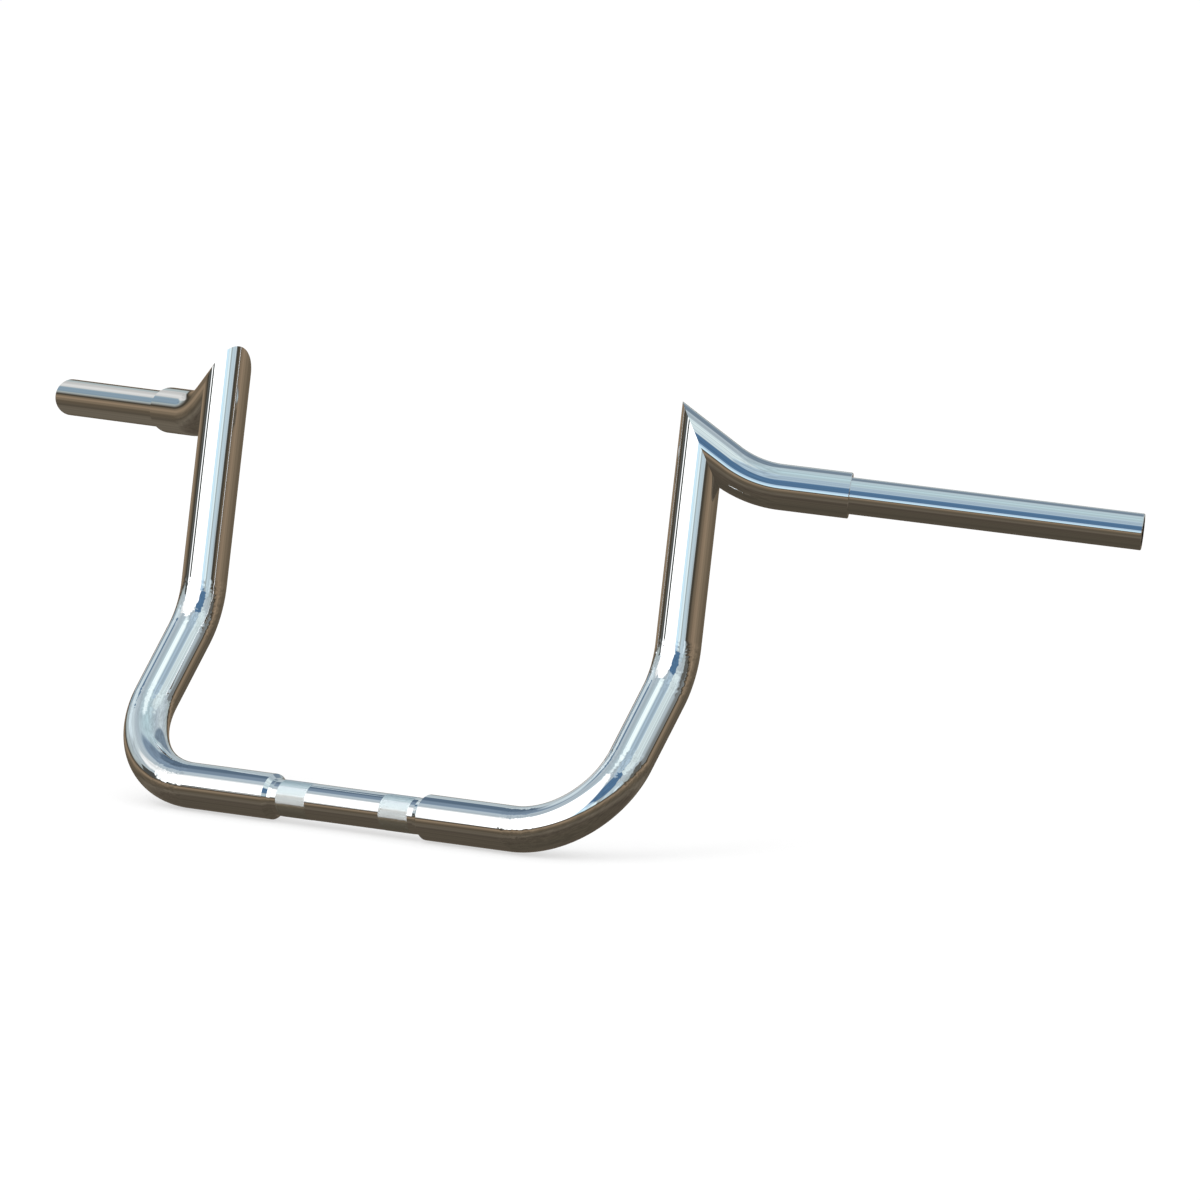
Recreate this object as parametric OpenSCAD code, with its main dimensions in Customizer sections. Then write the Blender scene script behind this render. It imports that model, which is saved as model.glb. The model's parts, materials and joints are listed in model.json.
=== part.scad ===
/* [Bar tube: clamp section and grips] */
// Outside diameter of the clamp tube and the two grip tubes
bar_d = 25.4; // [22.2:0.1:28]
// Wall of the clamp tube and the two grip tubes
bar_wall = 3; // [2:0.25:4.5]
// Bevel that breaks the outer edge of every tube end
edge_break = 0.5; // [0.2:0.1:1]
// Depth of the step down to the spigots of a bar tube, which enter the thicker tubes
spigot_step = 0.3; // [0.2:0.05:1]
// Clearance all round between a spigot and the tube that holds it
slip = 0.12; // [0.05:0.01:0.3]

/* [Clamp section] */
// Clear length of the clamp tube between the two main tubes
clamp_len = 123; // [116:1:160]
// Length of each spigot of the clamp tube, inside a main tube
clamp_hold = 50; // [20:1:60]
// Distance between the middles of the two knurled bands
riser_spacing = 88.9; // [50:0.1:90]
// Length of each knurled band
knurl_len = 25; // [10:0.5:26]
// Height that the crests of the knurl stand proud of the clamp tube
knurl_rise = 0.1; // [0.05:0.05:0.3]

/* [Main tubes] */
// Outside diameter of the main tubes and the arms
tube_d = 31.75; // [30:0.25:38]
// Distance between the centrelines of the two uprights
upright_spacing = 411; // [370:1:500]
// Radius of the bends at the foot and the knee of a main tube, on the centreline
bend_r = 66.5; // [50:0.5:75]
// Length of the slanted leg between its two bend corners
incline_len = 140; // [120:1:220]
// Angle of the slanted leg back from straight up
incline_lean_angle = 43.5; // [30:0.5:55]
// Length of the upright from its bend corner to the mitre, on the centreline
upright_len = 157.5; // [100:0.5:400]
// Angle of the upright back from straight up
upright_lean_angle = 10.8; // [0:0.1:20]
// Length of the bevel round the inner end of a main tube
shoulder_len = 2.8; // [1:0.1:6]
// Length of the low lip between that bevel and the clamp tube
lip_len = 2.6; // [0.5:0.1:5]
// Height that the lip gains towards the bevel
lip_rise = 0.4; // [0.1:0.1:0.8]
// Width of the flat face on the end of the lip
lip_land = 0.4; // [0.2:0.1:1]

/* [Arms and grips] */
// Length of the arm from the mitre to its bend corner, on the centreline
arm_len = 43; // [38:1:80]
// Angle at which the arm runs down from the mitre
arm_drop_angle = 36.6; // [25:0.1:50]
// Angle at which the arm runs back from straight out to the side
arm_sweep_angle = 26.5; // [10:0.1:40]
// Radius of the bend between the arm and the grip, on the centreline
arm_bend_r = 77; // [50:1:90]
// Length of the arm from its bend corner to its outer end
sleeve_len = 69; // [66:1:110]
// Clear length of the grip tube outside the arm
grip_len = 202; // [120:1:260]
// Length of the spigot of a grip tube, inside the arm
grip_hold = 30; // [15:1:34]
// Angle at which the grip runs down towards its end
grip_drop_angle = 6.3; // [0:0.1:15]
// Angle at which the grip runs back from straight out to the side
grip_sweep_angle = 31.9; // [15:0.1:45]

/* [Hidden] */
$fn = 96;
chrome = "#c9d3da";
// Amount by which the tube swells at the tangent line where a bend begins or ends
swell = 0.03;
// Distance from that line at which the straight run and the bend each stop, inside the swelling
shy = 0.4;
// Distance by which a cutting shape runs past the face that it opens
overshoot = 1;
bar_r = bar_d / 2;
bar_bore_r = bar_r - bar_wall;
tube_r = tube_d / 2;
spigot_r = bar_r - spigot_step;
tube_bore_r = spigot_r + slip;

// Centreline of the right half: the clamp axis, the two legs of the main tube, the arm and the grip
incline_dir = [0, sin(incline_lean_angle), cos(incline_lean_angle)];
upright_dir = [0, sin(upright_lean_angle), cos(upright_lean_angle)];
arm_dir = outward(arm_drop_angle, arm_sweep_angle);
grip_dir = outward(grip_drop_angle, grip_sweep_angle);
main_start = [clamp_len / 2, 0, 0];
foot = [upright_spacing / 2, 0, 0];
knee = foot + incline_len * incline_dir;
peak = knee + upright_len * upright_dir;
elbow = peak + arm_len * arm_dir;
arm_end = elbow + sleeve_len * grip_dir;
// The mitre plane halves the angle between the upright and the arm
mitre_dir = unit(upright_dir + arm_dir);
mitre_reach = tube_r * tan(turn(upright_dir, arm_dir) / 2) + overshoot;
cut_size = 3 * (mitre_reach + tube_d);

function unit(v) = v / norm(v);
function turn(a, b) = acos(a * b);
function outward(drop, sweep) = [cos(drop) * cos(sweep), cos(drop) * sin(sweep), -sin(drop)];
function square_to(v) = unit(cross(v, abs(v[0]) < 0.9 ? [1, 0, 0] : [0, 1, 0]));
function run_dir(points, i) = unit(points[i + 1] - points[i]);
// Distance from a bend corner to where the bend of radius r begins
function bend_trim(points, i, r) = r * tan(turn(run_dir(points, i - 1), run_dir(points, i)) / 2);

// Sets its children down with their Z axis along z and their X axis along x
module on_frame(origin, z, x) {
    y = cross(z, x);
    multmatrix([
        [x[0], y[0], z[0], origin[0]],
        [x[1], y[1], z[1], origin[1]],
        [x[2], y[2], z[2], origin[2]],
        [0, 0, 0, 1]
    ]) children();
}

// Everything on the side of a plane that its normal points to
module half_space(point, normal) {
    on_frame(point, normal, square_to(normal))
        translate([-cut_size / 2, -cut_size / 2, 0]) cube(cut_size);
}

// One bend of a round rod, from the run that points along dir_in to the one along dir_out
module rod_bend(corner, dir_in, dir_out, bend, r) {
    angle = turn(dir_in, dir_out);
    trim = bend * tan(angle / 2);
    shy_angle = shy / bend * 180 / PI;
    on_frame(corner - trim * dir_in, dir_in, unit(dir_out - (dir_out * dir_in) * dir_in))
        translate([bend, 0, 0]) rotate([90, 0, 0]) mirror([1, 0, 0]) rotate([0, 0, shy_angle])
            rotate_extrude(angle = angle - 2 * shy_angle) translate([bend, 0]) circle(r);
    for (tangent = [corner - trim * dir_in, corner + trim * dir_out])
        translate(tangent) sphere(r + swell);
}

// A round rod that follows a line of points, bent at each one between its ends
module rod_along(points, bend, r, past = 0) {
    last = len(points) - 1;
    for (i = [0:last - 1]) {
        from = i == 0 ? -past : bend_trim(points, i, bend) + shy;
        to = i == last - 1 ? -past : bend_trim(points, i + 1, bend) + shy;
        dir = run_dir(points, i);
        on_frame(points[i] + from * dir, dir, square_to(dir))
            cylinder(h = norm(points[i + 1] - points[i]) - from - to, r = r);
    }
    for (i = [1:last - 1])
        rod_bend(points[i], run_dir(points, i - 1), run_dir(points, i), bend, r);
}

// A bent tube, open at both ends
module bent_tube(points, bend) {
    difference() {
        rod_along(points, bend, tube_r);
        rod_along(points, bend, tube_bore_r, overshoot);
    }
}

// Cuts the outside of a tube down to a profile of [radius, z] points, up from z = 0
module nose_cut(profile) {
    rotate_extrude() polygon(concat(profile, [
        [tube_r + overshoot, profile[len(profile) - 1][1]],
        [tube_r + overshoot, -overshoot],
        [profile[0][0], -overshoot]
    ]));
}

// Outline of a knurled band centred at z, as points up the outside of the clamp tube
function band(z) = [
    [bar_r, z - knurl_len / 2], [bar_r + knurl_rise, z - knurl_len / 2 + knurl_rise],
    [bar_r + knurl_rise, z + knurl_len / 2 - knurl_rise], [bar_r, z + knurl_len / 2]
];

// Centre tube that the risers clamp: it runs on inside both main tubes
module clamp_tube() {
    half = clamp_len / 2;
    tip = half + clamp_hold;
    color(chrome) rotate([0, 90, 0]) rotate_extrude() polygon(concat(
        [[bar_bore_r, -tip], [spigot_r - edge_break, -tip], [spigot_r, edge_break - tip]],
        [[spigot_r, -half], [bar_r, -half]],
        band(-riser_spacing / 2),
        band(riser_spacing / 2),
        [[bar_r, half], [spigot_r, half]],
        [[spigot_r, tip - edge_break], [spigot_r - edge_break, tip], [bar_bore_r, tip]]
    ));
}

// One tube from the clamp section out, up the slanted leg and the upright to the mitre
module main_tube() {
    color(chrome) difference() {
        bent_tube([main_start, foot, knee, peak + mitre_reach * upright_dir], bend_r);
        half_space(peak, mitre_dir);
        on_frame(main_start, [1, 0, 0], [0, 0, 1]) nose_cut([
            [tube_bore_r + lip_land, 0],
            [tube_bore_r + lip_land + lip_rise, lip_len],
            [tube_r, lip_len + shoulder_len]
        ]);
    }
}

// The short arm that runs down from the mitred peak and bends into line with the grip
module arm_tube() {
    color(chrome) difference() {
        bent_tube([peak - mitre_reach * arm_dir, elbow, arm_end], arm_bend_r);
        half_space(peak, -mitre_dir);
        on_frame(arm_end, -grip_dir, square_to(grip_dir))
            nose_cut([[tube_r - edge_break, 0], [tube_r, edge_break]]);
    }
}

// Straight tube for the grip and the hand controls, with the spigot that the arm holds
module grip_tube() {
    color(chrome) on_frame(arm_end, grip_dir, square_to(grip_dir)) rotate_extrude() polygon([
        [bar_bore_r, -grip_hold], [spigot_r - edge_break, -grip_hold],
        [spigot_r, edge_break - grip_hold], [spigot_r, 0], [bar_r, 0],
        [bar_r, grip_len - edge_break], [bar_r - edge_break, grip_len], [bar_bore_r, grip_len]
    ]);
}

module left_side() {
    mirror([1, 0, 0]) children();
}

clamp_tube();
left_side() main_tube();  // left_main_tube
main_tube();  // right_main_tube
left_side() arm_tube();  // left_arm_tube
arm_tube();  // right_arm_tube
left_side() grip_tube();  // left_grip_tube
grip_tube();  // right_grip_tube
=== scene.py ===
import json
import math

import bmesh
import bpy
from mathutils import Matrix, Vector

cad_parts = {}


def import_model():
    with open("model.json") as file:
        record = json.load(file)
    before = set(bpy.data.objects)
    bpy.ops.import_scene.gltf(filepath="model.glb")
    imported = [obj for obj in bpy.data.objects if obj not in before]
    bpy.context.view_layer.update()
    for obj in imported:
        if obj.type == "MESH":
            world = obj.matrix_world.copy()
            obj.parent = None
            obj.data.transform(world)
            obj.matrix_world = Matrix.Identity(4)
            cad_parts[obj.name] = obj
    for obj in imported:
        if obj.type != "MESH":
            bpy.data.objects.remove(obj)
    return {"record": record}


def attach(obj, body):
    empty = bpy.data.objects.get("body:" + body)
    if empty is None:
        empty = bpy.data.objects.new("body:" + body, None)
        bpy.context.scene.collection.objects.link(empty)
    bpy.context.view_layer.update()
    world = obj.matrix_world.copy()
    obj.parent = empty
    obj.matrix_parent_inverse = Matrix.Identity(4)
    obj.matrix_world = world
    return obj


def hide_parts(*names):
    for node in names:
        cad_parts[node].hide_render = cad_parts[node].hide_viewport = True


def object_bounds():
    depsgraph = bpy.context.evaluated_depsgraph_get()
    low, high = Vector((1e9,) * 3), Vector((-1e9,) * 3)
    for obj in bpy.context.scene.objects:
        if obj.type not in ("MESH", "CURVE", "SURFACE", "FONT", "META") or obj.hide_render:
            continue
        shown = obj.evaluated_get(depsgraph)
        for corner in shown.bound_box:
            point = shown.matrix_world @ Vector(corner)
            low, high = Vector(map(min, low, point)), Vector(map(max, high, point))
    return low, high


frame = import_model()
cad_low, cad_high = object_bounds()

MM = 0.001

# Sizes of the bar, the same ones that its solids are made from
mounts = {mount["name"]: mount for mount in frame["record"]["mounts"]}
BAR_R = mounts["clamp"]["dims"]["r_mm"] * MM
BAR_BORE_R = mounts["right_bar_end"]["dims"]["r_mm"] * MM
CLAMP_HALF = mounts["clamp"]["dims"]["length_mm"] * MM / 2
CLAMP_HOLD = 50 * MM
TUBE_R = 31.75 * MM / 2
SPIGOT_STEP = 0.3 * MM
SPIGOT_R = BAR_R - SPIGOT_STEP
SLIP = 0.12 * MM
TUBE_BORE_R = SPIGOT_R + SLIP
EDGE_BREAK = 0.5 * MM
SHOULDER_LEN = 2.8 * MM
LIP_LEN = 2.6 * MM
LIP_RISE = 0.4 * MM
LIP_LAND = 0.4 * MM
UPRIGHT_SPACING = 411 * MM
BEND_R = 66.5 * MM
INCLINE_LEN = 140 * MM
INCLINE_LEAN = math.radians(43.5)
UPRIGHT_LEN = 157.5 * MM
UPRIGHT_LEAN = math.radians(10.8)
ARM_LEN = 43 * MM
ARM_DROP = math.radians(36.6)
ARM_SWEEP = math.radians(26.5)
ARM_BEND_R = 77 * MM
SLEEVE_LEN = 69 * MM
GRIP_LEN = 202 * MM
GRIP_HOLD = 30 * MM
GRIP_DROP = math.radians(6.3)
GRIP_SWEEP = math.radians(31.9)

# Knurled bands
RISER_SPACING = 88.9 * MM
KNURL_LEN = 25 * MM
KNURL_CREST = 0.13 * MM
# From one crest to the next, as on a medium cut
KNURL_PITCH = 1.0 * MM
CREST_CORNERS = 4

# How finely the tubes are drawn
SIDES = 360
BEND_STEP = math.radians(1.5)
RUN_STEP = 30 * MM
# A bore needs fewer rings than the outside: one in this many
BORE_SHARE = 3
CURVE_STEP = math.radians(0.25)
# A ring stands this far from each edge that goes round a tube, and keeps the shading even up to it
EDGE_RING = 1 * MM
SHARP_ANGLE = math.radians(20)
# Points closer than this are one point
MERGE_DISTANCE = 1e-7
CUT_TOLERANCE = 1e-8
# A tube that is to be mitred runs on past the plane by this much
MITRE_SPARE = 2 * MM

# Chrome: the buffing leaves patches of haze about 22 mm across, and a shallow ripple about 55 mm long
HAZE_SCALE = 45.0
HAZE_DETAIL = 3.0
POLISHED_ROUGHNESS = (0.012, 0.045)
RIPPLE_SCALE = 18.0
RIPPLE_DETAIL = 1.0
RIPPLE_HEIGHT = 1 * MM
RIPPLE_STRENGTH = 0.03
# Crinkles at the ends of the bends: about 4 mm from one to the next, in patches this far inside the bend
CRINKLE_SCALE = 270.0
CRINKLE_DETAIL = 1.0
CRINKLE_HEIGHT = 0.16 * MM
CRINKLE_DEPTH = 12 * MM
CRINKLE_FADE = 2 * MM
# The knurl's frost has grains of about 1 mm
FROST_SCALE = 900.0
FROST_DETAIL = 2.0
KNURL_ROUGHNESS = (0.12, 0.2)

# Camera, from the outline of the bar in the photograph, with its angles in degrees
CAMERA_AZIMUTH = 37.037
CAMERA_ELEVATION = 9.867
CAMERA_DISTANCE = 20.438
CAMERA_SEES_TO = 200.0
AIM_RIGHT = 0.17057
AIM_UP = 0.14222
FRAME_PIXELS = 1200
PIXELS_PER_METRE = 1455.3
SENSOR_MM = 36.0

# Studio. Angles are in degrees here: azimuth to the right of straight ahead, then height above level
WHITE = "#ffffff"
DOME_R = 60.0
DOME_SUBDIVISIONS = 5
# The dome makes up for the light that the chrome takes
DOME_STRENGTH = 1.1
FLOOR_SIZE = 30.0
FLOOR_GAP = 0.5 * MM
# How far the floor's white, as the camera sees it, covers the soft shadow of the bar
FLOOR_WHITENESS = 0.6
KEY_PLACE = (-1.5, -1.5, 2.5)
KEY_SIZE = 2.0
KEY_WATTS = 25.0

# Tones from straight down to straight up: brown ground, a sunlit strip, a dark skyline, haze and sky
GROUND_RAMP = [
    (-90, "#484238"), (-60, "#4e473c"), (-36, "#4f473d"), (-26, "#645c50"), (-19, "#564e42"),
    (-12, "#605546"), (-7, "#7c6d5a"), (-4, "#8e7b66"), (-2, "#7a6a57"), (0, "#6a5e4e"),
    (1.5, "#403a30"), (3, "#48443c")]
SKY_RAMP = [
    (4.5, "#7c7c78"), (7, "#a5b0b0"), (20, "#adb8be"), (35, "#bcc8cc"), (50, "#a8b4bc"), (90, "#b2cad0")]
# Patches, posts and the light box fade in between the last tone of the ground and the first of the sky
SKYLINE_LOW = GROUND_RAMP[-1][0]
SKYLINE_TOP = SKY_RAMP[0][0]
# Soft round patches of sky: azimuth, height, half width, width of the soft edge, and colour
BLUE_RIGHT = (40, 30, 15, 4, "#507090")
CLOUD_RIGHT = (85, 45, 18, 8, "#d0dee0")
BLUE_GREY_HIGH = (50, 55, 12, 5, "#a6bac8")
CLOUD_LEFT = (-92, 33, 12, 4, "#ccdae0")
GAP_IN_CLOUD_LEFT = (-86, 40, 4, 2, "#607890")
BLUE_HIGH_LEFT = (-105, 57, 14, 5, "#788a9c")
DARK_BEHIND_LEFT = (-125, 48, 9, 6, "#56687a")
DARK_BEHIND = (-170, 40, 18, 6, "#748492")
GLARE_LEFT = (-55, 34, 9, 4, "#eef0f0")
GLARE_OVERHEAD = (-5, 70, 8, 6, "#eaf8fa")
HAZE_BEHIND_LEFT = (-125, 10, 7, 2, "#cacac8")
TREES_RIGHT = (100, 3, 12, 4, "#5c5c58")
HAZE_RIGHT = (60, 5, 12, 2, "#b4c6ce")
HAZE_BEHIND_RIGHT = (118, 7, 8, 3, "#767a7a")
BLUE_LOW_LEFT = (-110, 13, 5, 2, "#8498a6")
PALE_BLUE_RIGHT = (29, 12, 5, 2, "#aec8dc")
GLARE_LOW_RIGHT = (36, 4, 6, 2, "#dff2f8")
GLARE_LOW_AHEAD = (26, 4, 6, 2, "#cbe8f6")
# A later patch covers an earlier one
PATCHES = [
    BLUE_RIGHT, CLOUD_RIGHT, BLUE_GREY_HIGH, BLUE_HIGH_LEFT, DARK_BEHIND_LEFT, DARK_BEHIND, CLOUD_LEFT,
    GAP_IN_CLOUD_LEFT, GLARE_LEFT, GLARE_OVERHEAD, HAZE_BEHIND_LEFT, TREES_RIGHT, HAZE_RIGHT,
    HAZE_BEHIND_RIGHT, BLUE_LOW_LEFT, PALE_BLUE_RIGHT, GLARE_LOW_RIGHT, GLARE_LOW_AHEAD]
# Slow mottling of the ramps and patches, a few degrees across, which a tube draws out into streaks
MOTTLE_SCALE = 9.0
MOTTLE_DETAIL = 5.0
MOTTLE_ROUGHNESS = 0.65
MOTTLE_NOISE = (0.35, 0.65)
MOTTLE_GAIN = (0.8, 1.2)
# The light box in front is brighter than white, so that it whitens the knurl too
LIGHT_BOX = (-16, 20, 34, 6, WHITE)
LIGHT_BOX_STRENGTH = 1.5
# Low upright strips in front of all that: azimuth, half width, height, and colour
DARK_POST = (-42, 4.5, 9, "#444a44")
GREY_POST = (-61, 6, 16, "#484a48")
PALE_POST = (66, 2, 10, "#d8e6ec")
POSTS = [DARK_POST, GREY_POST, PALE_POST]
POST_SOFTNESS = 1
# A Mix node has its own sockets for each kind of data, and these are the ones for colours
MIX_FIRST, MIX_SECOND, MIX_RESULT = 6, 7, 2


def linear(hex_colour):
    """An sRGB hex colour as the linear colour that Blender works in."""
    parts = [int(hex_colour[i:i + 2], 16) / 255 for i in (1, 3, 5)]
    return [part / 12.92 if part <= 0.04045 else ((part + 0.055) / 1.055) ** 2.4 for part in parts] + [1.0]


def add(tree, kind, inputs=None, **settings):
    """Adds a node to a tree, with its settings, and its inputs as values or as links from other nodes."""
    node = tree.nodes.new(kind)
    for name, value in settings.items():
        setattr(node, name, value)
    for key, value in (inputs or {}).items():
        if isinstance(value, bpy.types.NodeSocket):
            tree.links.new(value, node.inputs[key])
        else:
            node.inputs[key].default_value = value
    return node


def new_material(name):
    material = bpy.data.materials.new(name)
    material.use_nodes = True
    material.node_tree.nodes.clear()
    return material


def new_object(name, data):
    """An object at the origin, in the scene."""
    made = bpy.data.objects.new(name, data)
    bpy.context.scene.collection.objects.link(made)
    return made


# Centreline of the right half
def leaning(lean):
    return Vector((0, math.sin(lean), math.cos(lean)))


def outward(drop, sweep):
    return Vector((math.cos(drop) * math.cos(sweep), math.cos(drop) * math.sin(sweep), -math.sin(drop)))


UPRIGHT_DIR = leaning(UPRIGHT_LEAN)
ARM_DIR = outward(ARM_DROP, ARM_SWEEP)
GRIP_DIR = outward(GRIP_DROP, GRIP_SWEEP)
MAIN_START = Vector((CLAMP_HALF, 0, 0))
FOOT = Vector((UPRIGHT_SPACING / 2, 0, 0))
KNEE = FOOT + INCLINE_LEN * leaning(INCLINE_LEAN)
PEAK = KNEE + UPRIGHT_LEN * UPRIGHT_DIR
ELBOW = PEAK + ARM_LEN * ARM_DIR
ARM_END = ELBOW + SLEEVE_LEN * GRIP_DIR
MITRE_DIR = (UPRIGHT_DIR + ARM_DIR).normalized()
MITRE_REACH = TUBE_R * math.tan(UPRIGHT_DIR.angle(ARM_DIR) / 2) + MITRE_SPARE


def inside_bend(before, corner, after, bend_r, depth):
    """The point on the centreline of a bend, a given distance in from where it begins."""
    ahead = (corner - before).normalized()
    turned = (after - corner).normalized()
    begin = corner - bend_r * math.tan(ahead.angle(turned) / 2) * ahead
    across = (turned - turned.dot(ahead) * ahead).normalized()
    angle = depth / bend_r
    return begin + bend_r * (math.sin(angle) * ahead + (1 - math.cos(angle)) * across)


# One for each end of the two bends of a main tube
CRINKLE_MIDDLES = [
    inside_bend(MAIN_START, FOOT, KNEE, BEND_R, CRINKLE_DEPTH),
    inside_bend(KNEE, FOOT, MAIN_START, BEND_R, CRINKLE_DEPTH),
    inside_bend(FOOT, KNEE, PEAK, BEND_R, CRINKLE_DEPTH),
    inside_bend(PEAK, KNEE, FOOT, BEND_R, CRINKLE_DEPTH)]
# From such a point to the skin of the tube at the line where the bend begins
CRINKLE_REACH = math.hypot(CRINKLE_DEPTH, TUBE_R)


def crinkled_spots(tree, place):
    """1 just inside the ends of the main tubes' bends, 0 elsewhere."""
    spot = add(tree, "ShaderNodeSeparateXYZ", {0: place})
    beside = add(tree, "ShaderNodeMath", {0: spot.outputs["X"]}, operation="ABSOLUTE")
    spot = add(tree, "ShaderNodeCombineXYZ", {
        "X": beside.outputs[0], "Y": spot.outputs["Y"], "Z": spot.outputs["Z"]})
    share = 0.0
    for middle in CRINKLE_MIDDLES:
        away = add(tree, "ShaderNodeVectorMath", {0: spot.outputs[0], 1: middle}, operation="DISTANCE")
        near = add(tree, "ShaderNodeMapRange", {
            "Value": away.outputs["Value"], "To Min": 1.0, "To Max": 0.0,
            "From Min": CRINKLE_REACH - CRINKLE_FADE, "From Max": CRINKLE_REACH + CRINKLE_FADE},
            interpolation_type="SMOOTHSTEP")
        most = add(tree, "ShaderNodeMath", {0: share, 1: near.outputs["Result"]}, operation="MAXIMUM")
        share = most.outputs[0]
    return share


def polished_chrome():
    """Decorative chrome over buffed nickel: a bright, faintly cool mirror, a little hazy from the buffing."""
    material = new_material("polished_chrome_plate")
    tree = material.node_tree
    place = add(tree, "ShaderNodeTexCoord").outputs["Object"]
    haze = add(tree, "ShaderNodeTexNoise", {"Vector": place, "Scale": HAZE_SCALE, "Detail": HAZE_DETAIL})
    rough = add(tree, "ShaderNodeMapRange", {
        "Value": haze.outputs["Fac"], "To Min": POLISHED_ROUGHNESS[0], "To Max": POLISHED_ROUGHNESS[1]})
    ripple = add(tree, "ShaderNodeTexNoise", {
        "Vector": place, "Scale": RIPPLE_SCALE, "Detail": RIPPLE_DETAIL})
    buffed = add(tree, "ShaderNodeBump", {
        "Height": ripple.outputs["Fac"], "Strength": RIPPLE_STRENGTH, "Distance": RIPPLE_HEIGHT})
    # The bending tools crinkle the tube where each bend begins and ends, and the polish leaves that visible
    crinkle = add(tree, "ShaderNodeTexNoise", {
        "Vector": place, "Scale": CRINKLE_SCALE, "Detail": CRINKLE_DETAIL})
    crinkle = add(tree, "ShaderNodeMath", {
        0: crinkle.outputs["Fac"], 1: crinkled_spots(tree, place)}, operation="MULTIPLY")
    bump = add(tree, "ShaderNodeBump", {
        "Height": crinkle.outputs[0], "Strength": 1.0, "Distance": CRINKLE_HEIGHT,
        "Normal": buffed.outputs["Normal"]})
    shader = add(tree, "ShaderNodeBsdfPrincipled", {
        "Base Color": linear("#f4f5f6"), "Metallic": 1.0,
        "Roughness": rough.outputs["Result"], "Normal": bump.outputs["Normal"]})
    add(tree, "ShaderNodeOutputMaterial", {"Surface": shader.outputs["BSDF"]})
    return material


def knurled_chrome():
    """Chrome over cut diamonds: the plating frosts on the crests, so the band reads as pale satin."""
    material = new_material("knurled_chrome_plate")
    tree = material.node_tree
    place = add(tree, "ShaderNodeTexCoord").outputs["Object"]
    frost = add(tree, "ShaderNodeTexNoise", {"Vector": place, "Scale": FROST_SCALE, "Detail": FROST_DETAIL})
    rough = add(tree, "ShaderNodeMapRange", {
        "Value": frost.outputs["Fac"], "To Min": KNURL_ROUGHNESS[0], "To Max": KNURL_ROUGHNESS[1]})
    shader = add(tree, "ShaderNodeBsdfPrincipled", {
        "Base Color": linear("#f2f8f9"), "Metallic": 1.0, "Roughness": rough.outputs["Result"]})
    add(tree, "ShaderNodeOutputMaterial", {"Surface": shader.outputs["BSDF"]})
    return material


def centreline(corners, bend_r):
    """Points along a line of corners with each corner bent, and the distances at which the tube has rings."""
    points = [corners[0]]
    rings = [0.0]

    def advance(length, count):
        start = rings[-1]
        rings.extend(start + length * (k + 1) / count for k in range(count))

    for before, corner, after in zip(corners, corners[1:], corners[2:]):
        ahead = (corner - before).normalized()
        turned = (after - corner).normalized()
        angle = ahead.angle(turned)
        begin = corner - bend_r * math.tan(angle / 2) * ahead
        length = (begin - points[-1]).length
        advance(length, math.ceil(length / RUN_STEP))
        across = (turned - turned.dot(ahead) * ahead).normalized()
        centre = begin + bend_r * across
        steps = math.ceil(angle / CURVE_STEP)
        for k in range(steps + 1):
            so_far = angle * k / steps
            points.append(centre + bend_r * (math.sin(so_far) * ahead - math.cos(so_far) * across))
        advance(bend_r * angle, math.ceil(angle / BEND_STEP))
    length = (corners[-1] - points[-1]).length
    advance(length, math.ceil(length / RUN_STEP))
    return points + [corners[-1]], rings


def path_object(points):
    """A poly curve through the points, for a tube to follow."""
    curve = bpy.data.curves.new("centreline", "CURVE")
    curve.dimensions = "3D"
    spline = curve.splines.new("POLY")
    spline.points.add(len(points) - 1)
    for place, point in zip(spline.points, points):
        place.co = (*point, 1)
    return new_object("centreline", curve)


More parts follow.
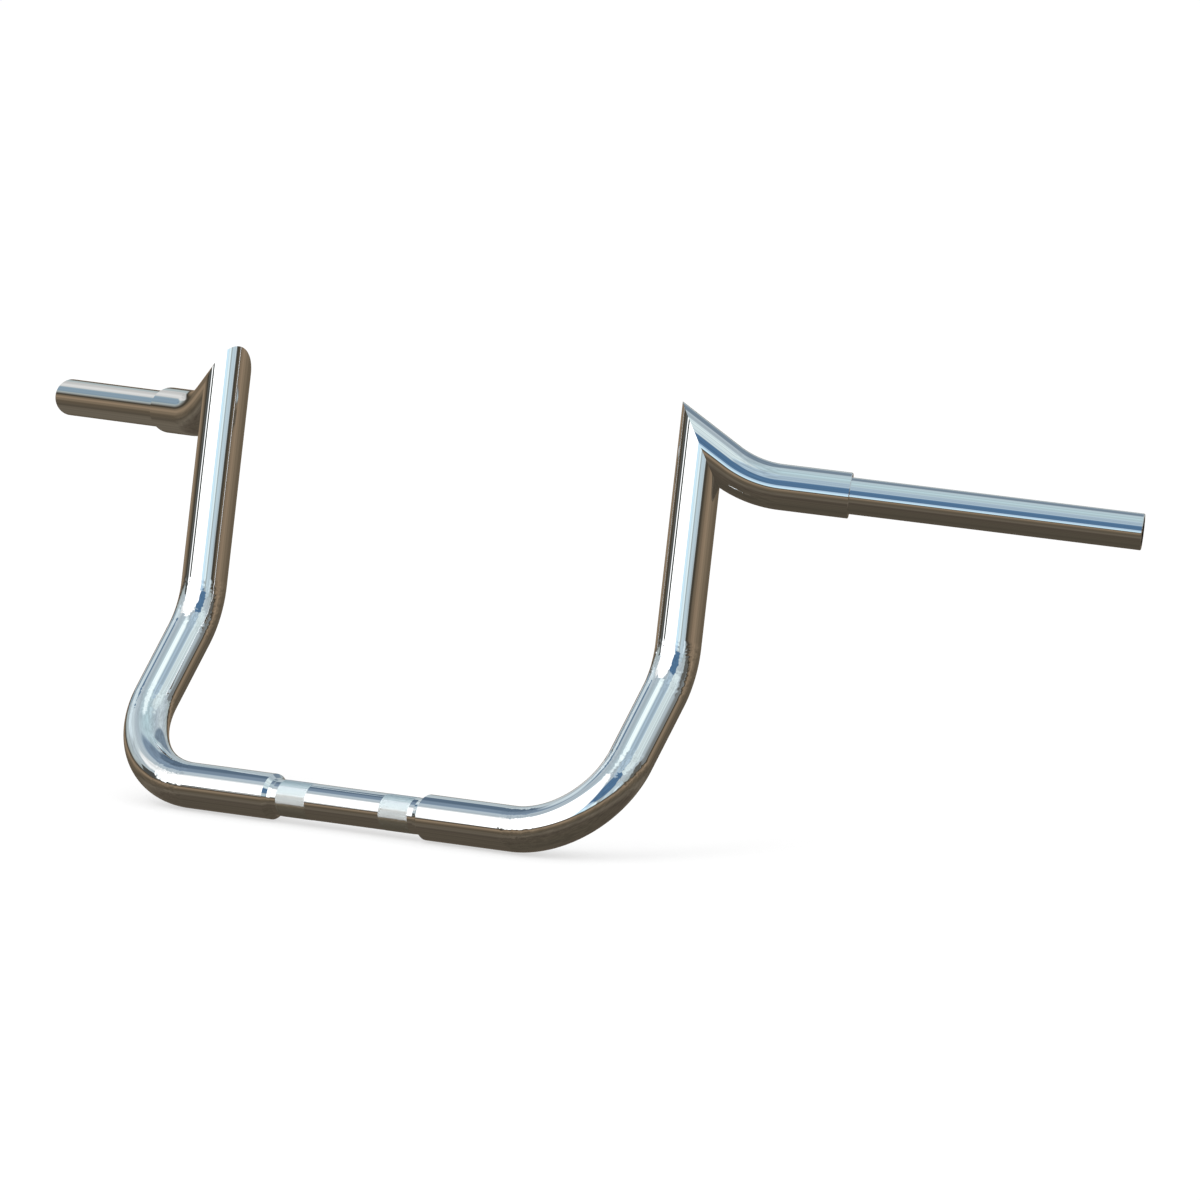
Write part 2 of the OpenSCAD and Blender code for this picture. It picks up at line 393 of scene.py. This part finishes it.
def bent_tube_tree(material):
    """Turns a wall profile about its X axis and lays it along a centreline.

    The profile is a ring of points in order round the wall. X is the distance along the centreline, and Y is
    the radius.
    """
    tree = bpy.data.node_groups.new("Tube along a centreline", "GeometryNodeTree")
    face = tree.interface
    face.new_socket("Profile", in_out="INPUT", socket_type="NodeSocketGeometry")
    face.new_socket("Centreline", in_out="INPUT", socket_type="NodeSocketObject")
    face.new_socket("Sides", in_out="INPUT", socket_type="NodeSocketInt")
    face.new_socket("Tube", in_out="OUTPUT", socket_type="NodeSocketGeometry")
    given = add(tree, "NodeGroupInput")
    size = add(tree, "GeometryNodeAttributeDomainSize", {"Geometry": given.outputs["Profile"]})
    count = size.outputs["Point Count"]
    # A grid with one row for each point of the profile and one for each side, and the first of both once more
    rows = add(tree, "ShaderNodeMath", {0: count, 1: 1.0}, operation="ADD")
    columns = add(tree, "ShaderNodeMath", {0: given.outputs["Sides"], 1: 1.0}, operation="ADD").outputs[0]
    grid = add(tree, "GeometryNodeMeshGrid", {"Vertices X": rows.outputs[0], "Vertices Y": columns})
    index = add(tree, "GeometryNodeInputIndex")
    row = add(tree, "ShaderNodeMath", {0: index.outputs[0], 1: columns}, operation="DIVIDE")
    row = add(tree, "ShaderNodeMath", {0: row.outputs[0]}, operation="FLOOR")
    row = add(tree, "ShaderNodeMath", {0: row.outputs[0], 1: count}, operation="MODULO")
    column = add(tree, "ShaderNodeMath", {0: index.outputs[0], 1: columns}, operation="MODULO")
    turn = add(tree, "ShaderNodeMath", {0: column.outputs[0], 1: given.outputs["Sides"]}, operation="DIVIDE")
    turn = add(tree, "ShaderNodeMath", {0: turn.outputs[0], 1: math.tau}, operation="MULTIPLY")
    place = add(tree, "GeometryNodeInputPosition")
    wall = add(tree, "GeometryNodeSampleIndex", {
        "Geometry": given.outputs["Profile"], "Value": place.outputs[0], "Index": row.outputs[0]},
        data_type="FLOAT_VECTOR", domain="POINT")
    wall = add(tree, "ShaderNodeSeparateXYZ", {0: wall.outputs["Value"]})
    line = add(tree, "GeometryNodeObjectInfo", {"Object": given.outputs["Centreline"]})
    spot = add(tree, "GeometryNodeSampleCurve", {
        "Curves": line.outputs["Geometry"], "Length": wall.outputs["X"]}, mode="LENGTH")
    beside = add(tree, "ShaderNodeVectorMath", {
        0: spot.outputs["Tangent"], 1: spot.outputs["Normal"]}, operation="CROSS_PRODUCT")
    cosine = add(tree, "ShaderNodeMath", {0: turn.outputs[0]}, operation="COSINE")
    sine = add(tree, "ShaderNodeMath", {0: turn.outputs[0]}, operation="SINE")
    along_normal = add(tree, "ShaderNodeVectorMath", {
        0: spot.outputs["Normal"], "Scale": cosine.outputs[0]}, operation="SCALE")
    along_beside = add(tree, "ShaderNodeVectorMath", {
        0: beside.outputs[0], "Scale": sine.outputs[0]}, operation="SCALE")
    out = add(tree, "ShaderNodeVectorMath", {
        0: along_normal.outputs[0], 1: along_beside.outputs[0]}, operation="ADD")
    out = add(tree, "ShaderNodeVectorMath", {
        0: out.outputs[0], "Scale": wall.outputs["Y"]}, operation="SCALE")
    skin = add(tree, "ShaderNodeVectorMath", {
        0: spot.outputs["Position"], 1: out.outputs[0]}, operation="ADD")
    moved = add(tree, "GeometryNodeSetPosition", {
        "Geometry": grid.outputs["Mesh"], "Position": skin.outputs[0]})
    closed = add(tree, "GeometryNodeMergeByDistance", {
        "Geometry": moved.outputs[0], "Distance": MERGE_DISTANCE})
    smooth = add(tree, "GeometryNodeSetShadeSmooth", {"Geometry": closed.outputs[0]})
    real = add(tree, "GeometryNodeRealizeInstances", {"Geometry": smooth.outputs[0]})
    finished = add(tree, "GeometryNodeSetMaterial", {"Geometry": real.outputs[0], "Material": material})
    add(tree, "NodeGroupOutput", {"Tube": finished.outputs[0]})
    return tree


def made_by(tree, start_mesh, inputs):
    """The mesh that a Geometry Nodes tree makes from a start mesh and its named inputs."""
    maker = new_object("maker", start_mesh)
    modifier = maker.modifiers.new("make", "NODES")
    modifier.node_group = tree
    for socket in tree.interface.items_tree:
        if socket.in_out == "INPUT" and socket.name in inputs:
            modifier[socket.identifier] = inputs[socket.name]
    depsgraph = bpy.context.evaluated_depsgraph_get()
    mesh = bpy.data.meshes.new_from_object(maker.evaluated_get(depsgraph), depsgraph=depsgraph)
    maker.modifiers.remove(modifier)
    bpy.data.objects.remove(maker)
    return mesh


def profile_mesh(wall):
    """A wall profile, a list of distances and radii, as points joined in a ring."""
    mesh = bpy.data.meshes.new("wall profile")
    edges = [(i, (i + 1) % len(wall)) for i in range(len(wall))]
    mesh.from_pydata([(along, radius, 0) for along, radius in wall], edges, [])
    return mesh


def mitred(mesh, point, normal):
    """Cuts a hollow tube off at a plane and closes its wall there."""
    work = bmesh.new()
    work.from_mesh(mesh)
    cut = bmesh.ops.bisect_plane(
        work, geom=work.verts[:] + work.edges[:] + work.faces[:], dist=CUT_TOLERANCE,
        plane_co=point, plane_no=normal, clear_outer=True)
    rim = [part for part in cut["geom_cut"] if isinstance(part, bmesh.types.BMEdge)]
    bmesh.ops.bridge_loops(work, edges=rim)
    work.to_mesh(mesh)
    work.free()


def finish_piece(name, mesh, *nodes):
    """Faces outwards, sharp edges marked, riding on the bar in place of its CAD nodes."""
    work = bmesh.new()
    work.from_mesh(mesh)
    bmesh.ops.recalc_face_normals(work, faces=work.faces[:])
    work.to_mesh(mesh)
    work.free()
    for face in mesh.polygons:
        face.use_smooth = True
    mesh.set_sharp_from_angle(angle=SHARP_ANGLE)
    piece = new_object(name, mesh)
    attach(piece, "root")
    if nodes:
        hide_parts(*nodes)


def on_side(side, point):
    return Vector((side * point.x, point.y, point.z))


def tube_along(tree, corners, bend_r, wall_of_rings):
    """A hollow tube along a line of corners; wall_of_rings gives its profile from the ring distances."""
    points, rings = centreline(corners, bend_r)
    path = path_object(points)
    bpy.context.view_layer.update()
    mesh = made_by(tree, profile_mesh(wall_of_rings(rings)), {"Centreline": path, "Sides": SIDES})
    bpy.data.objects.remove(path)
    return mesh


# Wall profiles: points of distance along the tube and radius, out along the outside and back through the bore
def bore(rings, radius):
    return [(along, radius) for along in [rings[-1]] + rings[-2:0:-BORE_SHARE] + [rings[0]]]


def spigot(length):
    """The stepped end of a bar tube, from its tip inside a thicker tube to the full radius."""
    return [(0, SPIGOT_R - EDGE_BREAK), (EDGE_BREAK, SPIGOT_R), (length, SPIGOT_R), (length, BAR_R)]


def plain_run(rings, start, stop, radius):
    """The outside between two edges, with a ring beside each of them."""
    first, last = start + EDGE_RING, stop - EDGE_RING
    between = [along for along in rings if first < along < last]
    return [(along, radius) for along in [first] + between + [last]]


def main_wall(rings):
    nose = LIP_LEN + SHOULDER_LEN
    lip_r = TUBE_BORE_R + LIP_LAND
    outside = [(0, lip_r), (LIP_LEN, lip_r + LIP_RISE), (nose, TUBE_R), (nose + EDGE_RING, TUBE_R)]
    outside += [(along, TUBE_R) for along in rings if along > nose + 2 * EDGE_RING]
    return outside + bore(rings, TUBE_BORE_R)


def arm_wall(rings):
    end = rings[-1]
    bevel = end - EDGE_BREAK
    outside = [(along, TUBE_R) for along in rings if along < bevel - EDGE_RING]
    outside += [(bevel - EDGE_RING, TUBE_R), (bevel, TUBE_R), (end, TUBE_R - EDGE_BREAK)]
    return outside + bore(rings, TUBE_BORE_R)


def grip_wall(rings):
    end = rings[-1]
    bevel = end - EDGE_BREAK
    outside = spigot(GRIP_HOLD) + plain_run(rings, GRIP_HOLD, bevel, BAR_R)
    outside += [(bevel, BAR_R), (end, BAR_R - EDGE_BREAK)]
    return outside + bore(rings, BAR_BORE_R)


def clamp_wall(rings):
    end = rings[-1]
    far_spigot = [(end - along, radius) for along, radius in reversed(spigot(CLAMP_HOLD))]
    middle = plain_run(rings, CLAMP_HOLD, end - CLAMP_HOLD, BAR_R)
    return spigot(CLAMP_HOLD) + middle + far_spigot + bore(rings, BAR_BORE_R)


def knurl_tree(material):
    """Rows of diamond crests round a band of the clamp tube, each row turned half a diamond from the last."""
    tree = bpy.data.node_groups.new("Diamond knurl", "GeometryNodeTree")
    face = tree.interface
    face.new_socket("Start", in_out="INPUT", socket_type="NodeSocketGeometry")
    for name in ("Radius", "Length", "Middle", "Crest"):
        face.new_socket(name, in_out="INPUT", socket_type="NodeSocketFloat")
    for name in ("Around", "Rows"):
        face.new_socket(name, in_out="INPUT", socket_type="NodeSocketInt")
    face.new_socket("Knurl", in_out="OUTPUT", socket_type="NodeSocketGeometry")
    given = add(tree, "NodeGroupInput")
    around = given.outputs["Around"]
    length = given.outputs["Length"]
    grid = add(tree, "GeometryNodeMeshGrid", {"Vertices X": given.outputs["Rows"], "Vertices Y": around})
    index = add(tree, "GeometryNodeInputIndex")
    row = add(tree, "ShaderNodeMath", {0: index.outputs[0], 1: around}, operation="DIVIDE")
    row = add(tree, "ShaderNodeMath", {0: row.outputs[0]}, operation="FLOOR")
    column = add(tree, "ShaderNodeMath", {0: index.outputs[0], 1: around}, operation="MODULO")
    odd = add(tree, "ShaderNodeMath", {0: row.outputs[0], 1: 2.0}, operation="MODULO")
    column = add(tree, "ShaderNodeMath", {
        0: odd.outputs[0], 1: 0.5, 2: column.outputs[0]}, operation="MULTIPLY_ADD")
    turn = add(tree, "ShaderNodeMath", {0: column.outputs[0], 1: around}, operation="DIVIDE")
    turn = add(tree, "ShaderNodeMath", {0: turn.outputs[0], 1: math.tau}, operation="MULTIPLY")
    # Places along the tube run from half a band before its middle to half a band after it
    middle_of_row = add(tree, "ShaderNodeMath", {0: row.outputs[0], 1: 0.5}, operation="ADD")
    share = add(tree, "ShaderNodeMath", {
        0: middle_of_row.outputs[0], 1: given.outputs["Rows"]}, operation="DIVIDE")
    share = add(tree, "ShaderNodeMath", {0: share.outputs[0], 1: 0.5}, operation="SUBTRACT")
    along = add(tree, "ShaderNodeMath", {
        0: share.outputs[0], 1: length, 2: given.outputs["Middle"]}, operation="MULTIPLY_ADD")
    cosine = add(tree, "ShaderNodeMath", {0: turn.outputs[0]}, operation="COSINE")
    sine = add(tree, "ShaderNodeMath", {0: turn.outputs[0]}, operation="SINE")
    out = add(tree, "ShaderNodeCombineXYZ", {"Y": cosine.outputs[0], "Z": sine.outputs[0]})
    spot = add(tree, "ShaderNodeVectorMath", {
        0: out.outputs[0], "Scale": given.outputs["Radius"]}, operation="SCALE")
    shift = add(tree, "ShaderNodeCombineXYZ", {"X": along.outputs[0]})
    spot = add(tree, "ShaderNodeVectorMath", {0: spot.outputs[0], 1: shift.outputs[0]}, operation="ADD")
    placed = add(tree, "GeometryNodeSetPosition", {
        "Geometry": grid.outputs["Mesh"], "Position": spot.outputs[0]})
    dots = add(tree, "GeometryNodeMeshToPoints", {"Mesh": placed.outputs[0]})
    # The corners of a crest's base point along the tube and round it, and touch those of its neighbours
    half = add(tree, "ShaderNodeMath", {0: length, 1: given.outputs["Rows"]}, operation="DIVIDE")
    crest = add(tree, "GeometryNodeMeshCone", {
        "Vertices": CREST_CORNERS, "Radius Top": 0.0, "Radius Bottom": half.outputs[0],
        "Depth": given.outputs["Crest"]})
    facing = add(tree, "FunctionNodeAlignRotationToVector", {"Vector": out.outputs[0]},
                 axis="Z", pivot_axis="X")
    crests = add(tree, "GeometryNodeInstanceOnPoints", {
        "Points": dots.outputs[0], "Instance": crest.outputs["Mesh"], "Rotation": facing.outputs[0]})
    real = add(tree, "GeometryNodeRealizeInstances", {"Geometry": crests.outputs[0]})
    finished = add(tree, "GeometryNodeSetMaterial", {"Geometry": real.outputs[0], "Material": material})
    add(tree, "NodeGroupOutput", {"Knurl": finished.outputs[0]})
    return tree


def knurled_bands(material):
    """Both bands of crests, as one mesh on the clamp tube. The rows stand half a pitch apart."""
    tree = knurl_tree(material)
    around = round(math.tau * BAR_R / KNURL_PITCH)
    rows = round(2 * KNURL_LEN / KNURL_PITCH)
    both = bmesh.new()
    for middle in (-RISER_SPACING / 2, RISER_SPACING / 2):
        band = made_by(tree, bpy.data.meshes.new("start"), {
            "Radius": BAR_R, "Length": KNURL_LEN, "Middle": middle, "Crest": KNURL_CREST,
            "Around": around, "Rows": rows})
        both.from_mesh(band)
    mesh = bpy.data.meshes.new("knurled_bands")
    both.to_mesh(mesh)
    both.free()
    mesh.materials.append(material)
    return mesh


def handlebar():
    """The seven tubes, each in place of its CAD node, and the knurl on the clamp tube."""
    tree = bent_tube_tree(polished_chrome())
    clamp_end = Vector((CLAMP_HALF + CLAMP_HOLD, 0, 0))
    clamp = tube_along(tree, [-clamp_end, clamp_end], 0, clamp_wall)
    finish_piece("clamp_tube_plated", clamp, "clamp_tube")
    finish_piece("clamp_tube_knurl", knurled_bands(knurled_chrome()))
    main_line = [MAIN_START, FOOT, KNEE, PEAK + MITRE_REACH * UPRIGHT_DIR]
    arm_line = [PEAK - MITRE_REACH * ARM_DIR, ELBOW, ARM_END]
    grip_line = [ARM_END - GRIP_HOLD * GRIP_DIR, ARM_END + GRIP_LEN * GRIP_DIR]
    for side, word in ((-1, "left"), (1, "right")):
        peak = on_side(side, PEAK)
        mitre = on_side(side, MITRE_DIR)
        main = tube_along(tree, [on_side(side, corner) for corner in main_line], BEND_R, main_wall)
        mitred(main, peak, mitre)
        finish_piece(word + "_main_tube_plated", main, word + "_main_tube")
        arm = tube_along(tree, [on_side(side, corner) for corner in arm_line], ARM_BEND_R, arm_wall)
        mitred(arm, peak, -mitre)
        finish_piece(word + "_arm_tube_plated", arm, word + "_arm_tube")
        grip = tube_along(tree, [on_side(side, corner) for corner in grip_line], 0, grip_wall)
        finish_piece(word + "_grip_tube_plated", grip, word + "_grip_tube")


# The studio
def direction(azimuth, height):
    """A unit vector towards an azimuth and a height, in degrees."""
    turned, raised = math.radians(azimuth), math.radians(height)
    return Vector((
        math.sin(turned) * math.cos(raised), -math.cos(turned) * math.cos(raised), math.sin(raised)))


def share_of_way_up(degrees):
    """0 for straight down, 1 for straight up."""
    return (degrees + 90) / 180


def surroundings(tree):
    """Brown ground, a dark skyline, a hazy mottled sky with soft patches, a light box and a few posts."""
    place = add(tree, "ShaderNodeTexCoord")
    look = add(tree, "ShaderNodeVectorMath", {0: place.outputs["Object"]}, operation="NORMALIZE").outputs[0]
    height = add(tree, "ShaderNodeSeparateXYZ", {0: look})
    height = add(tree, "ShaderNodeMath", {0: height.outputs["Z"]}, operation="ARCSINE")
    height = add(tree, "ShaderNodeMapRange", {
        "Value": height.outputs[0], "From Min": -math.pi / 2, "From Max": math.pi / 2})
    ramp = add(tree, "ShaderNodeValToRGB", {"Fac": height.outputs["Result"]})
    stops = GROUND_RAMP + SKY_RAMP
    while len(ramp.color_ramp.elements) < len(stops):
        ramp.color_ramp.elements.new(1.0)
    for stop, (degrees, tint) in zip(ramp.color_ramp.elements, stops):
        stop.position = share_of_way_up(degrees)
        stop.color = linear(tint)
    above = add(tree, "ShaderNodeMapRange", {
        "Value": height.outputs["Result"],
        "From Min": share_of_way_up(SKYLINE_LOW), "From Max": share_of_way_up(SKYLINE_TOP)})
    above = above.outputs["Result"]

    def painted(colour, share, tint, strength=1.0):
        tone = [strength * part for part in linear(tint)[:3]] + [1.0]
        mix = add(tree, "ShaderNodeMix", {
            "Factor": share, MIX_FIRST: colour, MIX_SECOND: tone}, data_type="RGBA")
        return mix.outputs[MIX_RESULT]

    def patch(colour, azimuth, elevation, half, soft, tint, strength=1.0):
        near = add(tree, "ShaderNodeVectorMath", {
            0: look, 1: direction(azimuth, elevation)}, operation="DOT_PRODUCT")
        inside = add(tree, "ShaderNodeMapRange", {
            "Value": near.outputs["Value"], "To Max": above,
            "From Min": math.cos(math.radians(half + soft)), "From Max": math.cos(math.radians(half))},
            interpolation_type="SMOOTHSTEP")
        return painted(colour, inside.outputs["Result"], tint, strength)

    def post(colour, azimuth, half, top, tint):
        beside = add(tree, "ShaderNodeVectorMath", {
            0: look, 1: direction(azimuth + 90, 0)}, operation="DOT_PRODUCT")
        beside = add(tree, "ShaderNodeMath", {0: beside.outputs["Value"]}, operation="ABSOLUTE")
        wide = add(tree, "ShaderNodeMapRange", {
            "Value": beside.outputs[0], "To Min": above, "To Max": 0.0,
            "From Min": math.sin(math.radians(half)),
            "From Max": math.sin(math.radians(half + POST_SOFTNESS))})
        ahead = add(tree, "ShaderNodeVectorMath", {
            0: look, 1: direction(azimuth, 0)}, operation="DOT_PRODUCT")
        low = add(tree, "ShaderNodeMath", {
            0: ahead.outputs["Value"], 1: math.cos(math.radians(top))}, operation="GREATER_THAN")
        share = add(tree, "ShaderNodeMath", {
            0: wide.outputs["Result"], 1: low.outputs[0]}, operation="MULTIPLY")
        return painted(colour, share.outputs[0], tint)

    colour = ramp.outputs["Color"]
    for each in PATCHES:
        colour = patch(colour, *each)
    mottle = add(tree, "ShaderNodeTexNoise", {
        "Vector": look, "Scale": MOTTLE_SCALE, "Detail": MOTTLE_DETAIL, "Roughness": MOTTLE_ROUGHNESS})
    gain = add(tree, "ShaderNodeMapRange", {
        "Value": mottle.outputs["Fac"], "From Min": MOTTLE_NOISE[0], "From Max": MOTTLE_NOISE[1],
        "To Min": MOTTLE_GAIN[0], "To Max": MOTTLE_GAIN[1]})
    mottled = add(tree, "ShaderNodeVectorMath", {
        0: colour, "Scale": gain.outputs["Result"]}, operation="SCALE")
    colour = patch(mottled.outputs[0], *LIGHT_BOX, LIGHT_BOX_STRENGTH)
    for each in POSTS:
        colour = post(colour, *each)
    return colour


def dome():
    """Reflector dome: only the mirror finish sees it."""
    mesh = bpy.data.meshes.new("reflector_dome")
    work = bmesh.new()
    bmesh.ops.create_icosphere(work, subdivisions=DOME_SUBDIVISIONS, radius=DOME_R)
    bmesh.ops.reverse_faces(work, faces=work.faces[:])
    work.to_mesh(mesh)
    work.free()
    material = new_material("reflector_dome")
    tree = material.node_tree
    light = add(tree, "ShaderNodeEmission", {"Color": surroundings(tree), "Strength": DOME_STRENGTH})
    add(tree, "ShaderNodeOutputMaterial", {"Surface": light.outputs["Emission"]})
    mesh.materials.append(material)
    piece = new_object("reflector_dome", mesh)
    piece.visible_camera = False
    piece.visible_diffuse = False
    piece.visible_shadow = False
    piece.visible_transmission = False


def seen_background(tree):
    """1 for the rays that show the background: the camera's own, and those of metal and glass."""
    path = add(tree, "ShaderNodeLightPath")
    seen = add(tree, "ShaderNodeMath", {
        0: path.outputs["Is Camera Ray"], 1: path.outputs["Is Glossy Ray"]}, operation="ADD")
    seen = add(tree, "ShaderNodeMath", {
        0: seen.outputs[0], 1: path.outputs["Is Transmission Ray"]}, operation="ADD", use_clamp=True)
    return seen.outputs[0]


def floor():
    """Plain white floor under the bar. In the chrome, the dome's brown ground stands for it."""
    mesh = bpy.data.meshes.new("floor")
    work = bmesh.new()
    bmesh.ops.create_grid(work, x_segments=1, y_segments=1, size=FLOOR_SIZE)
    work.to_mesh(mesh)
    work.free()
    mesh.transform(Matrix.Translation((0, 0, cad_low[2] - FLOOR_GAP)))
    material = new_material("studio_floor")
    tree = material.node_tree
    shaded = add(tree, "ShaderNodeBsdfDiffuse", {"Color": linear(WHITE)})
    white = add(tree, "ShaderNodeEmission", {"Color": linear(WHITE), "Strength": 1.0})
    share = add(tree, "ShaderNodeMath", {0: seen_background(tree), 1: FLOOR_WHITENESS}, operation="MULTIPLY")
    mixed = add(tree, "ShaderNodeMixShader", {0: share.outputs[0], 1: shaded.outputs[0], 2: white.outputs[0]})
    add(tree, "ShaderNodeOutputMaterial", {"Surface": mixed.outputs[0]})
    mesh.materials.append(material)
    piece = new_object("floor", mesh)
    piece.visible_glossy = False


def world():
    """Plain white light from all round, which is also the white behind the bar."""
    made = bpy.data.worlds.new("studio")
    bpy.context.scene.world = made
    made.use_nodes = True
    tree = made.node_tree
    tree.nodes.clear()
    white = add(tree, "ShaderNodeBackground", {"Color": linear(WHITE), "Strength": 1.0})
    add(tree, "ShaderNodeOutputWorld", {"Surface": white.outputs[0]})


def key_lamp():
    """A soft lamp from the front left, which the chrome doesn't show."""
    lamp = bpy.data.lights.new("key", "AREA")
    lamp.size = KEY_SIZE
    lamp.energy = KEY_WATTS
    piece = new_object("key", lamp)
    piece.location = KEY_PLACE
    piece.rotation_euler = (-Vector(KEY_PLACE)).to_track_quat("-Z", "Y").to_euler()
    piece.visible_glossy = False


def camera():
    """A long lens at the photograph's angle, the whole frame 1200 pixels wide."""
    back = direction(CAMERA_AZIMUTH, CAMERA_ELEVATION)
    turned = math.radians(CAMERA_AZIMUTH)
    right = Vector((math.cos(turned), math.sin(turned), 0))
    up = back.cross(right)
    lens = bpy.data.cameras.new("camera")
    lens.sensor_width = SENSOR_MM
    lens.lens = lens.sensor_width * PIXELS_PER_METRE * CAMERA_DISTANCE / FRAME_PIXELS
    lens.clip_end = CAMERA_SEES_TO
    piece = new_object("camera", lens)
    place = AIM_RIGHT * right + AIM_UP * up + CAMERA_DISTANCE * back
    piece.matrix_world = Matrix.Translation(place) @ Matrix((right, up, back)).transposed().to_4x4()
    bpy.context.scene.camera = piece


handlebar()
dome()
floor()
world()
key_lamp()
camera()
bpy.context.scene.view_settings.view_transform = "Standard"
